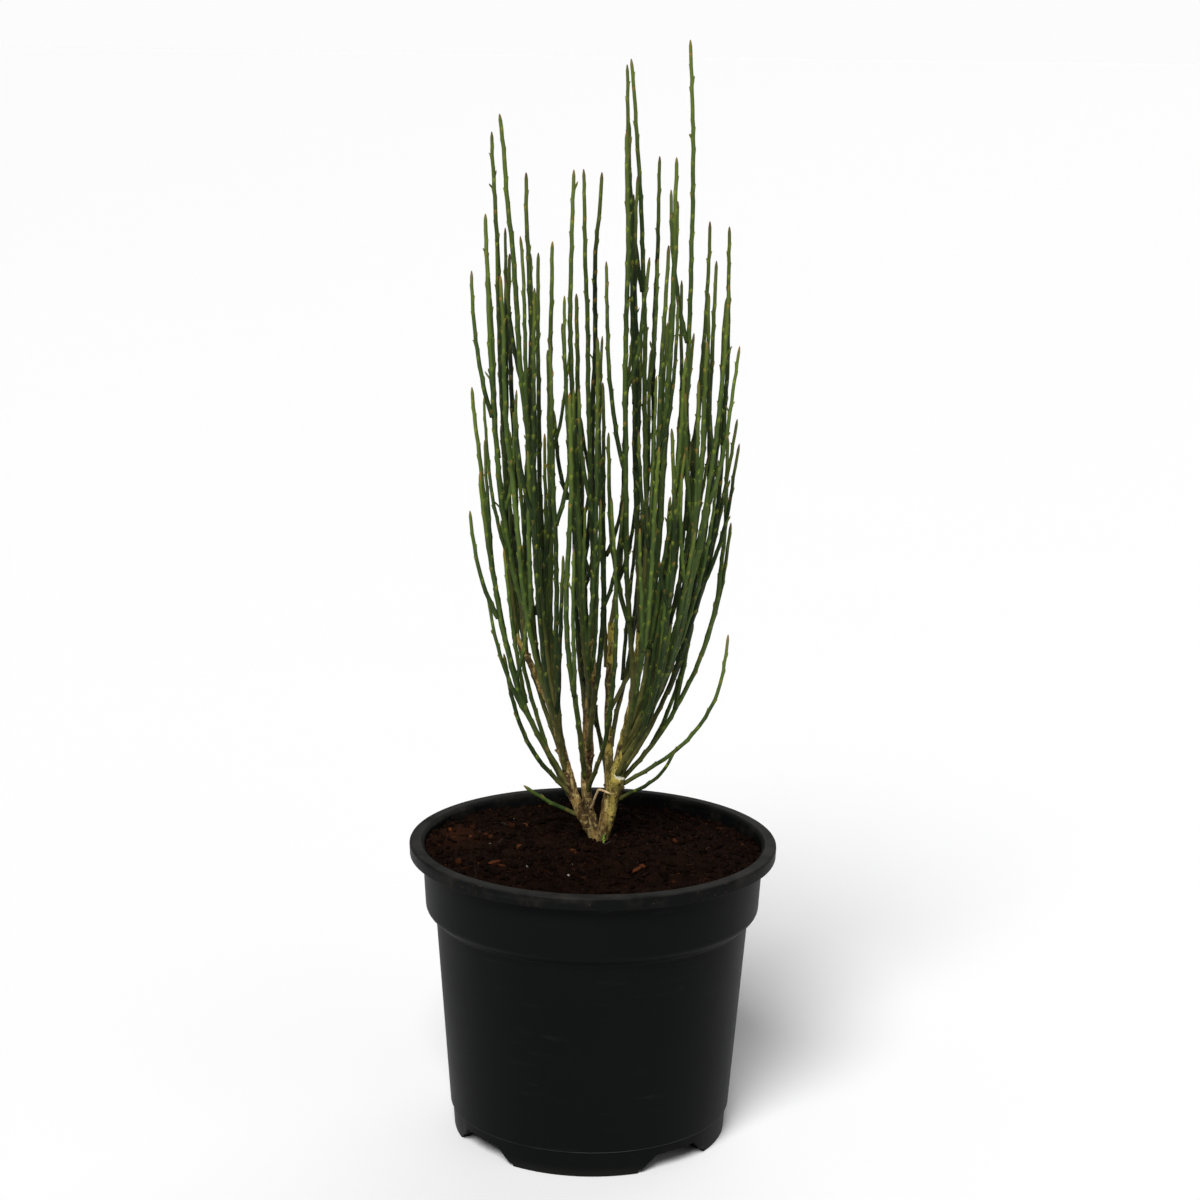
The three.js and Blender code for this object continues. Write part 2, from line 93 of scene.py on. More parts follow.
SOIL_EDGE_DROP = 2.312 * MM
SOIL_TILT = 1.2 * MM
SOIL_MOUND = (1.2 * MM, 11 * MM)  # its height and reach round the plant
SOIL_GAP = 0.3 * MM  # from the compost's side to the wall
SOIL_RINGS = 92
SOIL_SIDES = 300
HEAP_HEIGHT = 4.2 * MM
HEAP = ((-74 * MM, 12 * MM), (13 * MM, 16 * MM))  # the middle and the reach of the heap at the left
CLUMP = ((-72 * MM, 12 * MM), (12 * MM, 15 * MM))  # and of its lighter crumbs
CRUMBS = 3900
PERLITE = 9
FIBRES = 230

LENS = 78.07
FILM = 36
CAMERA = (0, -1.2916, 0.5657)
CAMERA_YAW = -0.0014
CAMERA_DOWN = 0.2157
CAMERA_ROLL = 0.0148
SUNS = {  # where each shines from, its strength and its spread in degrees
    "key": ((-0.28, -1.0, 1.05), 3.45, 28),
    "fill": ((1.0, -0.8, 0.5), 0.30, 60),
    "back": ((0.35, 1.0, 0.9), 0.60, 60),
}
SURROUND_SHOWN = 0.975
SURROUND_LIGHT = 0.16
FLOOR_HALF = 60.0

SLICE_STEP = 2.5 * MM
TIP_BEYOND = 3 * MM  # from the last slice of a twig to its tip
ROOT_BEFORE = 3 * MM  # from a branch's first slice back into its stem
SHORTEST_TWIG = 8 * MM
SMOOTHING = 11 * MM
LINE_STEP = 2 * MM
TWIG_SIDES = 8
TWIG_ROOT = 1.24 * MM
TWIG_NECK = 1.08 * MM
SHOOT_ROOT = 1.12 * MM
SHOOT_NECK = 0.94 * MM
POINT_LENGTH = 3.2 * MM
ROOT_FLARE = 0.14
NODE_EVERY = 5.2 * MM
ZIGZAG = 0.13 * MM  # how far a twig's line stands out at a node
SHADE_DEPTH = 34 * MM  # how far behind the crown the painted shade on a twig is darkest
SHADE_INNER_REACH = 34 * MM  # how far out from the crown a twig stops taking painted shade for its place inside
WOBBLES = ((70 * MM, 1.9 * MM), (24 * MM, 0.40 * MM))  # the length and the size of a twig's own bends

STUBS = 7  # on each stem
SCARS = 170
SCAR_RADIUS = 1.2 * MM
CUT_RADIUS = 2.8 * MM
WOOD_GROWTH = 0.22 * MM
WOOD_VOXEL = 0.45 * MM
FISSURE_RELIEF = 0.26
KNOB_RELIEF = 0.60
SCAR_RELIEF = 0.25


# ---- camera, lights and floor


def make_camera():
    """A long lens, a little above the plant's top and pitched down to it."""
    data = bpy.data.cameras.new("camera")
    data.lens = LENS
    data.sensor_width = FILM
    data.clip_end = 200
    camera = placed("camera", data)
    place = Matrix.Translation(CAMERA)
    yaw = Matrix.Rotation(CAMERA_YAW, 4, "Z")
    pitch = Matrix.Rotation(math.pi / 2 - CAMERA_DOWN, 4, "X")
    roll = Matrix.Rotation(CAMERA_ROLL, 4, "Z")
    camera.matrix_world = place @ yaw @ pitch @ roll
    bpy.context.scene.camera = camera


def make_sun(name, place, strength, spread):
    """A soft, far light that shines from a place towards the origin."""
    data = bpy.data.lights.new(name, "SUN")
    data.energy = strength
    data.angle = math.radians(spread)
    placed(name, data).rotation_euler = Vector(place).to_track_quat("Z", "Y").to_euler()


def make_studio():
    """Soft light from the front, weak light from behind, and a surround that lights less than it shows."""
    scene = bpy.context.scene
    scene.view_settings.view_transform = "Standard"
    world = bpy.data.worlds.new("studio")
    world.use_nodes = True
    tree = world.node_tree
    shown = tree.nodes["Background"]
    shown.inputs["Color"].default_value = (1, 1, 1, 1)
    shown.inputs["Strength"].default_value = SURROUND_SHOWN
    lighting = tree.nodes.new("ShaderNodeBackground")
    lighting.inputs["Strength"].default_value = SURROUND_LIGHT
    path = tree.nodes.new("ShaderNodeLightPath")
    mix = tree.nodes.new("ShaderNodeMixShader")
    tree.links.new(path.outputs["Is Camera Ray"], mix.inputs["Fac"])
    tree.links.new(lighting.outputs["Background"], mix.inputs[1])
    tree.links.new(shown.outputs["Background"], mix.inputs[2])
    tree.links.new(mix.outputs["Shader"], tree.nodes["World Output"].inputs["Surface"])
    scene.world = world
    for name, (place, strength, spread) in SUNS.items():
        make_sun(name, place, strength, spread)


def make_floor():
    """A wide pale floor."""
    half = FLOOR_HALF
    corners = [(-half, -half, 0), (half, -half, 0), (half, half, 0), (-half, half, 0)]
    floor = plain_object("floor", corners, [(0, 1, 2, 3)])
    floor.data.materials.append(floor_material())


# ---- node materials


class Nodes:
    """A short way to write a material's node tree."""

    def __init__(self, name):
        self.material = bpy.data.materials.new(name)
        self.material.use_nodes = True
        self.tree = self.material.node_tree
        self.shader = self.tree.nodes["Principled BSDF"]
        self.coordinates = self.tree.nodes.new("ShaderNodeTexCoord").outputs["Object"]

    def link(self, value, socket):
        """Sets a socket, by a link or as a plain value."""
        if isinstance(value, bpy.types.NodeSocket):
            self.tree.links.new(value, socket)
        else:
            socket.default_value = value

    def node(self, kind, **inputs):
        """A new node, with its inputs linked or set by name."""
        node = self.tree.nodes.new("ShaderNode" + kind)
        for name, value in inputs.items():
            self.link(value, node.inputs[name])
        return node

    def stretched(self, x, y, z):
        return self.node("Mapping", Vector=self.coordinates, Scale=(x, y, z)).outputs["Vector"]

    def noise(self, scale, detail=4.0, vector=None):
        place = vector or self.coordinates
        node = self.node("TexNoise", Vector=place, Scale=scale, Detail=detail, Roughness=0.55)
        return node.outputs["Fac"]

    def cells(self, scale):
        return self.node("TexVoronoi", Vector=self.coordinates, Scale=scale).outputs["Distance"]

    def ramp(self, value, low, high):
        """0 under low and 1 over high, smooth between."""
        node = self.node("MapRange", Value=value, **{"From Min": low, "From Max": high})
        node.interpolation_type = "SMOOTHSTEP"
        return node.outputs["Result"]

    def span(self, value, low, high):
        """A share from 0 to 1 as a number from low to high."""
        return self.node("MapRange", Value=value, **{"To Min": low, "To Max": high}).outputs["Result"]

    def math(self, operation, a, b=0.0):
        node = self.node("Math")
        node.operation = operation
        self.link(a, node.inputs[0])
        self.link(b, node.inputs[1])
        return node.outputs["Value"]

    def times(self, a, b):
        return self.math("MULTIPLY", a, b)

    def mix(self, share, a, b):
        """Colour a, going to colour b as the share goes to 1."""
        node = self.node("Mix")
        node.data_type = "RGBA"
        self.link(share, node.inputs["Factor"])
        self.link(colour(a), node.inputs["A"])
        self.link(colour(b), node.inputs["B"])
        return node.outputs["Result"]

    def over(self, base, mask, share, tint):
        """The base with a tint laid over it by a share of the mask."""
        return self.mix(self.times(mask, share), base, tint)

    def marks(self):
        """The four numbers that a piece's points carry."""
        node = self.node("Attribute")
        node.attribute_name = "marks"
        split = self.node("SeparateColor", Color=node.outputs["Color"])
        return split.outputs["Red"], split.outputs["Green"], split.outputs["Blue"], node.outputs["Alpha"]

    def height(self):
        return self.node("SeparateXYZ", Vector=self.coordinates).outputs["Z"]

    def bump(self, height, strength, distance, under=None):
        node = self.node("Bump", Strength=strength, Distance=distance, Height=height)
        if under is not None:
            self.link(under, node.inputs["Normal"])
        return node.outputs["Normal"]

    def finish(self, base, roughness, normal, specular):
        self.link(base, self.shader.inputs["Base Color"])
        self.link(roughness, self.shader.inputs["Roughness"])
        self.link(normal, self.shader.inputs["Normal"])
        self.shader.inputs["Specular IOR Level"].default_value = specular
        return self.material


def colour(value):
    return (*value, 1.0) if isinstance(value, tuple) and len(value) == 3 else value


def floor_material():
    nodes = Nodes("pale_floor")
    tone = nodes.mix(nodes.noise(3.0), (0.945, 0.945, 0.945), (0.955, 0.955, 0.955))
    return nodes.finish(tone, 0.8, nodes.bump(nodes.noise(400.0), 0.05, 0.0002), specular=0.2)


def pot_material():
    """Black moulded plastic: satin, mottled and scuffed, with painted highlights, partly wear, on its ridge
    and lip edge, and dried peat at the rim.
    """
    nodes = Nodes("pot_plastic")
    mottle = nodes.noise(14.0, 5.0)
    base = nodes.mix(mottle, (0.0022, 0.0025, 0.0025), (0.0040, 0.0044, 0.0043))
    scuffs = nodes.ramp(nodes.noise(38.0, 6.0, nodes.stretched(1, 1, 7)), 0.60, 0.74)
    base = nodes.over(base, scuffs, 0.22, (0.014, 0.015, 0.014))
    near_rim = nodes.ramp(nodes.height(), LIP_BOTTOM - 6 * MM, RIM_HEIGHT)
    specks = nodes.ramp(nodes.noise(520.0, 2.0), 0.66, 0.72)
    dusty = nodes.times(near_rim, nodes.ramp(nodes.noise(60.0), 0.5, 0.75))
    base = nodes.over(base, dusty, 0.35, (0.042, 0.036, 0.030))
    base = nodes.over(base, specks, near_rim, (0.040, 0.022, 0.013))
    # Lighter bands along the ridge over the feet and the lip's top edge: painted highlights, partly wear.
    highlight_and_wear_patches = nodes.ramp(nodes.noise(45.0, 4.0), 0.25, 0.60)
    from_ridge = nodes.math("ABSOLUTE", nodes.math("SUBTRACT", nodes.height(), RIDGE_HEIGHT + 0.2 * MM))
    ridge_highlight_and_wear = nodes.times(nodes.ramp(from_ridge, 0.55 * MM, 0.2 * MM), highlight_and_wear_patches)
    lip_highlight_and_wear = nodes.times(nodes.ramp(nodes.height(), RIM_HEIGHT - 1.3 * MM, RIM_HEIGHT), highlight_and_wear_patches)
    base = nodes.over(base, ridge_highlight_and_wear, 0.85, (0.070, 0.070, 0.064))
    base = nodes.over(base, lip_highlight_and_wear, 0.45, (0.036, 0.035, 0.032))
    near_floor = nodes.ramp(nodes.height(), 6 * MM, 0.0)
    base = nodes.over(base, near_floor, 0.15, (0.045, 0.042, 0.038))
    roughness = nodes.span(nodes.times(mottle, nodes.span(scuffs, 0.9, 1.2)), 0.40, 0.62)
    grain = nodes.bump(nodes.noise(1500.0, 2.0), 0.10, 0.0001)
    normal = nodes.bump(nodes.noise(22.0, 3.0), 0.12, 0.0008, grain)
    return nodes.finish(base, roughness, normal, specular=0.040)


def compost_material():
    """Dark peat with red-brown and straw-coloured bits. The points carry a tone, orange and pale."""
    nodes = Nodes("compost")
    tone, orange, pale, _ = nodes.marks()
    fine = nodes.noise(900.0, 5.0)
    base = nodes.mix(fine, (0.0008, 0.0004, 0.0003), (0.0060, 0.0028, 0.0016))
    base = nodes.over(base, tone, 0.60, (0.0160, 0.0066, 0.0038))
    crumbs = nodes.ramp(nodes.noise(420.0, 3.0), 0.60, 0.72)
    base = nodes.over(base, crumbs, 0.50, (0.030, 0.0108, 0.0056))
    base = nodes.mix(orange, base, (0.085, 0.026, 0.009))
    base = nodes.mix(pale, base, (0.34, 0.32, 0.29))
    rough = nodes.bump(nodes.cells(700.0), 0.5, 0.0005)
    normal = nodes.bump(fine, 0.6, 0.0006, rough)
    return nodes.finish(base, nodes.span(fine, 0.75, 0.98), normal, specular=0.025)


def twig_material():
    """Green ridged bark. The points carry a tone with painted shade in it, the share of the way up, node
    marks and the tip.
    """
    nodes = Nodes("green_twig")
    tone, share, knot, tip = nodes.marks()
    streaks = nodes.noise(900.0, 3.0, nodes.stretched(1, 1, 0.08))
    blotch = nodes.noise(75.0, 3.0, nodes.stretched(1, 1, 0.35))
    fresh = nodes.mix(tone, (0.0065, 0.0150, 0.0030), (0.082, 0.128, 0.023))
    dark = nodes.mix(tone, (0.006, 0.013, 0.003), (0.030, 0.056, 0.012))
    base = nodes.mix(nodes.ramp(blotch, 0.35, 0.72), fresh, dark)
    base = nodes.over(base, nodes.ramp(streaks, 0.5, 0.75), 0.30, (0.090, 0.135, 0.034))
    old = nodes.ramp(share, 0.26, 0.02)
    woody = nodes.mix(nodes.ramp(blotch, 0.35, 0.65), (0.062, 0.058, 0.015), (0.175, 0.155, 0.045))
    base = nodes.over(base, old, 0.60, woody)
    young = nodes.ramp(share, 0.74, 1.0)
    base = nodes.over(base, young, 0.50, (0.130, 0.170, 0.026))
    ripe = nodes.ramp(nodes.noise(160.0), 0.50, 0.62)
    base = nodes.mix(knot, base, nodes.mix(ripe, (0.21, 0.27, 0.025), (0.31, 0.15, 0.028)))
    ends = nodes.mix(nodes.ramp(tone, 0.35, 0.6), (0.095, 0.028, 0.024), (0.250, 0.120, 0.028))
    base = nodes.mix(tip, base, ends)
    roughness = nodes.span(blotch, 0.48, 0.68)
    normal = nodes.bump(streaks, 0.35, 0.0004)
    return nodes.finish(base, roughness, normal, specular=0.12)


def bark_material():
    """Tan to olive bark. The points carry greenness, the pale cut face and dark scars."""
    nodes = Nodes("bark")
    green, cut, scar, _ = nodes.marks()
    ridges = nodes.noise(330.0, 5.0, nodes.stretched(1, 1, 0.22))
    plates = nodes.noise(150.0, 4.0, nodes.stretched(1, 1, 0.5))
    tan = nodes.mix(nodes.ramp(plates, 0.40, 0.62), (0.054, 0.031, 0.011), (0.250, 0.160, 0.052))
    # Paler on the ridges' tops: partly the bark's own colour, partly painted highlight.
    tan = nodes.over(tan, nodes.ramp(ridges, 0.54, 0.66), 0.75, (0.46, 0.36, 0.15))
    olive = nodes.mix(nodes.ramp(plates, 0.40, 0.60), (0.070, 0.060, 0.012), (0.430, 0.360, 0.060))
    base = nodes.mix(green, tan, olive)
    # Darker in the fissures: partly the bark's own colour, partly painted shade.
    base = nodes.over(base, nodes.ramp(ridges, 0.47, 0.33), 0.85, (0.034, 0.021, 0.011))
    pale_flecks = nodes.ramp(nodes.noise(560.0, 3.0), 0.56, 0.66)
    base = nodes.over(base, pale_flecks, 0.60, (0.46, 0.37, 0.15))
    dark_flecks = nodes.ramp(nodes.noise(760.0, 3.0), 0.54, 0.62)
    base = nodes.over(base, dark_flecks, 0.65, (0.040, 0.025, 0.010))
    # Darker brown towards the soil.
    darker_near_soil = nodes.ramp(nodes.height(), SOIL_TOP + 14 * MM, SOIL_TOP - 2 * MM)
    base = nodes.over(base, darker_near_soil, 0.55, (0.085, 0.055, 0.020))
    base = nodes.mix(scar, base, (0.050, 0.022, 0.015))
    base = nodes.mix(cut, base, (0.60, 0.56, 0.44))
    normal = nodes.bump(ridges, 0.9, 0.0009)
    return nodes.finish(base, nodes.span(plates, 0.65, 0.9), normal, specular=0.10)


def straw_material():
    nodes = Nodes("dry_straw")
    fibres = nodes.noise(1100.0, 4.0, nodes.stretched(1, 1, 0.3))
    base = nodes.mix(nodes.ramp(fibres, 0.35, 0.7), (0.36, 0.235, 0.115), (0.66, 0.50, 0.29))
    return nodes.finish(base, nodes.span(fibres, 0.6, 0.85), nodes.bump(fibres, 0.5, 0.0003), specular=0.25)


def bud_material():
    nodes = Nodes("bud_green")
    veins = nodes.noise(700.0, 3.0)
    base = nodes.mix(nodes.ramp(veins, 0.35, 0.7), (0.135, 0.270, 0.030), (0.330, 0.480, 0.080))
    nodes.shader.inputs["Subsurface Weight"].default_value = 0.1
    nodes.shader.inputs["Subsurface Scale"].default_value = 0.0008
    return nodes.finish(base, nodes.span(veins, 0.4, 0.6), nodes.bump(veins, 0.3, 0.0002), specular=0.35)


# ---- meshes


class Shape:
    """Points, faces and four marks a point, gathered for one piece."""

    def __init__(self):
        self.points = []
        self.faces = []
        self.marks = []
        self.count = 0

    def add(self, points, faces, marks=(0, 0, 0, 0)):
        self.points.append(np.asarray(points, float))
        self.faces.extend(tuple(self.count + i for i in face) for face in faces)
        self.marks.append(np.broadcast_to(np.asarray(marks, float), (len(points), 4)))
        self.count += len(points)

    def piece(self, name, material):
        piece = plain_object(name, np.concatenate(self.points).tolist(), self.faces)
        set_marks(piece.data, np.concatenate(self.marks))
        piece.data.shade_smooth()
        piece.data.materials.append(material)
        return piece


def placed(name, data):
    """A new object in the scene."""
    made = bpy.data.objects.new(name, data)
    bpy.context.scene.collection.objects.link(made)
    return made


def plain_object(name, points, faces):
    mesh = bpy.data.meshes.new(name)
    mesh.from_pydata(points, [], faces)
    return placed(name, mesh)


def set_marks(mesh, marks):
    layer = mesh.color_attributes.new("marks", "FLOAT_COLOR", "POINT")
    layer.data.foreach_set("color", np.ascontiguousarray(marks, np.float32).ravel())


def numbers_of(mesh, kind):
    """The places ("co") or the normals ("normal") of a mesh's points, a row each."""
    numbers = np.empty(len(mesh.vertices) * 3)
    mesh.vertices.foreach_get(kind, numbers)
    return numbers.reshape(-1, 3)


def evaluated(piece):
    """A piece's mesh with its modifiers worked in."""
    depsgraph = bpy.context.evaluated_depsgraph_get()
    mesh = bpy.data.meshes.new_from_object(piece.evaluated_get(depsgraph))
    piece.modifiers.clear()
    piece.data = mesh
    return mesh


def place_piece(piece, slot, *nodes):
    """Ties a piece to the plant's one body and hides the nodes that it stands for. Its slot is not used."""
    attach(piece, "root")
    if nodes:
        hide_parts(*nodes)


def unit(vectors):
    length = np.linalg.norm(vectors, axis=-1, keepdims=True)
    return vectors / np.maximum(length, 1e-12)


def ring_frames(points):
    """Two directions across a line at each of its points, carried along it without twisting."""
    along = unit(np.gradient(points, axis=0))
    side = np.empty_like(points)
    side[0] = unit(np.cross(along[0], (0.0, 1.0, 0.0)))
    for i in range(1, len(points)):
        carried = side[i - 1] - along[i] * np.dot(side[i - 1], along[i])
        side[i] = unit(carried)
    return along, side, np.cross(along, side)


def tube(points, radii, sides):
    """A closed tube along a line. Its radii are one a ring, or one a corner."""
    _, side, other = ring_frames(points)
    turn = 2 * np.pi * np.arange(sides) / sides
    radii = np.broadcast_to(np.reshape(radii, (len(points), -1)), (len(points), sides))
    across = side[:, None] * np.cos(turn)[None, :, None] + other[:, None] * np.sin(turn)[None, :, None]
    rings = points[:, None] + across * radii[:, :, None]
    faces = []
    for i in range(len(points) - 1):
        low, high = i * sides, (i + 1) * sides
        for k in range(sides):
            after = (k + 1) % sides
            faces.append((low + k, low + after, high + after, high + k))
    last = (len(points) - 1) * sides
    faces.append(tuple(reversed(range(sides))))
    faces.append(tuple(range(last, last + sides)))
    return rings.reshape(-1, 3), faces


# ---- lines of the branches


def welded(node):
    """A node's points with repeats joined, and its triangles."""
    mesh = NODES[node].data
    mesh.calc_loop_triangles()
    points = numbers_of(mesh, "co")
    triangles = np.empty(len(mesh.loop_triangles) * 3, int)
    mesh.loop_triangles.foreach_get("vertices", triangles)
    grid = np.round(points / (0.002 * MM)).astype(int)
    _, first, same = np.unique(grid, axis=0, return_index=True, return_inverse=True)
    return points[first], same.reshape(-1)[triangles.reshape(-1, 3)]


def slice_middles(points, triangles, level):
    """The middles of the closed outlines that a level plane cuts from a mesh."""
    above = points[:, 2] > level
    cut = triangles[above[triangles].any(1) & ~above[triangles].all(1)]
    leader = {}

    def find(key):
        while leader.setdefault(key, key) != key:
            key = leader[key]
        return key

    segments = []
    for triangle in cut.tolist():
        ends = []
        for a, b in zip(triangle, triangle[1:] + triangle[:1]):
            if above[a] == above[b]:
                continue
            key = (min(a, b), max(a, b))
            share = (level - points[key[0]][2]) / (points[key[1]][2] - points[key[0]][2])
            ends.append((key, points[key[0]] * (1 - share) + points[key[1]] * share))
        (one, p), (other, q) = ends
        leader[find(one)] = find(other)
        segments.append((one, (p + q) / 2, np.linalg.norm(p - q)))
    sums = {}
    for key, middle, length in segments:
        total = sums.setdefault(find(key), [np.zeros(3), 0.0])
        total[0] += middle * length
        total[1] += length
    return [total[0] / total[1] for total in sums.values() if total[1] > 0]


def branch_lines(node):
    """The middle lines of a branch and its shoots, from root to tip, the one that reaches highest first."""
    points, triangles = welded(node)
    low, high = points[:, 2].min(), points[:, 2].max()
    spots, parents, layers = [], [], []
    for level in np.arange(low + SLICE_STEP * 0.31, high, SLICE_STEP):
        layer = []
        for middle in slice_middles(points, triangles, level):
            parent = nearest_below(middle, layers[-1] if layers else [], spots, parents)
            layer.append(len(spots))
            spots.append(middle)
            parents.append(parent)
        layers.append(layer)
    used, lines = set(), []
    tips = sorted(set(range(len(spots))) - set(parents), key=lambda i: -spots[i][2])
    for tip in tips:
        chain, i = [], tip
        while i is not None and i not in used:
            used.add(i)
            chain.append(spots[i])
            i = parents[i]
        if i is not None:
            chain.append(spots[i])
        if len(chain) * SLICE_STEP > SHORTEST_TWIG:
            chain.insert(0, chain[0] + unit(chain[0] - chain[1]) * TIP_BEYOND)
            lines.append(np.array(chain[::-1]))
    return lines


def nearest_below(middle, layer, spots, parents):
    """The outline in the layer below that leads on to this one."""
    best, least = None, np.inf
    for i in layer:
        drift = spots[i] - spots[parents[i]] if parents[i] is not None else np.zeros(3)
        away = np.linalg.norm((middle - spots[i] - drift)[:2])
        if away < least:
            best, least = i, away
    return best


def along_line(points):
    return np.concatenate([[0], np.cumsum(np.linalg.norm(np.diff(points, axis=0), axis=1))])


def sampled(points, places):
    """Points at given lengths along a line."""
    lengths = along_line(points)
    return np.stack([np.interp(places, lengths, points[:, k]) for k in range(3)], axis=1)


def smooth_line(points, reach):
    """A line with its corners rounded over a reach. Its two ends stay."""
    length = along_line(points)[-1]
    even = sampled(points, np.linspace(0, length, max(int(length / LINE_STEP), 4)))
    pad = min(int(2.5 * reach / LINE_STEP), len(even) - 1)
    before = 2 * even[0] - even[pad:0:-1]
    after = 2 * even[-1] - even[-2 : -pad - 2 : -1]
    padded = np.concatenate([before, even, after])
    offsets = np.arange(-pad, pad + 1) * LINE_STEP / reach
    weights = np.exp(-offsets**2)
    weights /= weights.sum()
    return np.stack([np.convolve(padded[:, k], weights, "valid") for k in range(3)], axis=1)


def wobbled(line, rng):
    """A line with slow, slight bends of its own, growing from nothing at its root."""
    places = along_line(line)
    start = rng.uniform(0, 50)
    grown = np.clip(places / (40 * MM), 0, 1)
    moved = line.copy()
    for axis in (0, 1):
        for wave, size in WOBBLES:
            bends = [noise.noise(Vector((start + 9 * axis, wave / MM, place / wave))) for place in places]
            moved[:, axis] += np.array(bends) * size * grown
    return moved


# ---- twigs


def twig_places(length, rng):
    """Where a twig's rings go, and the place and facing of each node on it."""
    nodes = []
    place = NODE_EVERY * rng.uniform(0.5, 1.1)
    facing = rng.uniform(0, math.tau)
    while place < length - 6 * MM:
        nodes.append((place, facing))
        place += NODE_EVERY * rng.uniform(0.7, 1.35)
        facing += 2.4 + rng.uniform(-0.4, 0.4)
    places = [0.0, 1.5 * MM]
    for place, _ in nodes:
        places += [place - 2.4 * MM, place, place + 0.4 * MM]
    places += [length - POINT_LENGTH * share for share in (1.0, 0.6, 0.3, 0.1, 0.0)]
    return np.array(sorted(p for p in places if 0 <= p <= length)), nodes


def zigzag(places, nodes, side, other):
    """How far each ring stands off the line, out at the nodes and back between them."""
    turning = [(0.0, 0.0, 0.0)] + [(place, math.cos(facing), math.sin(facing)) for place, facing in nodes]
    turning = np.array(turning + [(places[-1], 0.0, 0.0)])
    across = np.interp(places, turning[:, 0], turning[:, 1])[:, None] * side
    across += np.interp(places, turning[:, 0], turning[:, 2])[:, None] * other
    return ZIGZAG * across


def twig_radii(places, length, root, neck):
    """A twig's radius at each ring: flared at its root and narrowing to a point."""
    radius = root + (neck - root) * (places / length) ** 0.8
    radius *= 1 + ROOT_FLARE * np.exp(-places / (2.5 * MM))
    radius *= np.clip((length - places) / POINT_LENGTH, 0, 1) ** 0.55 * 0.86 + 0.14
    return radius * (1 - 0.28 * np.exp(-(length - places) / (42 * MM)))


def add_twig(shape, line, root, neck, tone, rng, is_shoot):
    """A ridged, knobbly twig with a bud at each node and a pointed tip."""
    length = along_line(line)[-1]
    places, nodes = twig_places(length, rng)
    points = sampled(line, places)
    along, side, other = ring_frames(points)
    points = points + zigzag(places, nodes, side, other)
    share = places / length
    radius = twig_radii(places, length, root, neck)
    turn = 2 * np.pi * np.arange(TWIG_SIDES) / TWIG_SIDES
    ridges = 1 + 0.06 * np.cos(turn * TWIG_SIDES / 2)
    radii = radius[:, None] * ridges[None, :]
    marks = np.zeros((len(places), TWIG_SIDES, 4))
    # The lower half of each twig is darker: painted shade deep in the bundle.
    marks[..., 0] = (tone * (0.5 + 0.5 * np.clip(2 * share, 0, 1)))[:, None]
    marks[..., 1] = 0.3 + 0.7 * share[:, None] if is_shoot else share[:, None]
    tip_length = rng.uniform(1.8, 4.5) * MM
    near_tip = np.clip(1 - (length - places) / tip_length, 0, 1) ** 0.7
    marks[..., 3] = (near_tip * rng.uniform(0.45, 1))[:, None]
    for place, facing in nodes:
        near = np.cos(turn - facing).clip(0, 1) ** 2
        rise = np.clip(1 - (place - places) / (2.6 * MM), 0, 1) * (places <= place + 0.01 * MM)
        radii += rise[:, None] * near[None, :] * rng.uniform(0.16, 0.42) * MM
        at_node = np.abs(places - place) < 0.1 * MM
        ripe = rng.uniform(0.2, 1.0) * (0.40 + 0.60 * place / length)
        marks[..., 2] += at_node[:, None] * near[None, :] * ripe
        i = int(np.argmin(np.abs(places - place)))
        out = side[i] * math.cos(facing) + other[i] * math.sin(facing)
        if place < length * 0.12:
            continue
        if rng.random() < 0.045 and length > 60 * MM:
            add_sprout(shape, points[i], along[i], out, radius[i], rng)
        else:
            add_bud(shape, points[i], along[i], out, radius[i], rng)
    shape.add(*tube(points, radii, TWIG_SIDES), marks.reshape(-1, 4))


def add_bud(shape, place, along, out, radius, rng):
    """A small pointed bud that leans out from its node."""
    height = rng.uniform(0.6, 1.4) * MM
    width = rng.uniform(0.26, 0.44) * MM
    axis = unit(along + out * rng.uniform(0.35, 0.9))
    foot = place + out * radius * 0.85
    stations = np.array([0.0, 0.35, 0.75, 1.0])
    line = foot + axis * (stations * height)[:, None]
    mark = (rng.uniform(0, 1), 0.6, rng.uniform(0.15, 0.85), 0.0)
    shape.add(*tube(line, width * np.array([0.7, 1.0, 0.6, 0.1]), 5), mark)


def add_sprout(shape, place, along, out, radius, rng):
    """A short young shoot, leaning out and then up."""
    height = (1.8 + 3.6 * rng.random() ** 2) * MM
    foot = place + out * radius * 0.5
    bend = foot + (along * 0.40 + out * 0.26) * height
    tip = foot + (along * 0.95 + out * rng.uniform(0.4, 0.7)) * height
    line = np.array([foot, (foot + bend) / 2, bend, (bend + tip) / 2 + out * 0.02 * height, tip])
    radii = rng.uniform(0.45, 0.62) * MM * np.array([1.0, 1.0, 1.0, 0.9, 0.25])
    marks = np.zeros((5, 6, 4))
    marks[..., 0] = rng.uniform(0.2, 1)
    marks[..., 1] = 0.9
    marks[3:, :, 3] = (np.array([0.4, 1.0]) * rng.uniform(0.3, 1))[:, None]
    shape.add(*tube(line, radii, 6), marks.reshape(-1, 4))


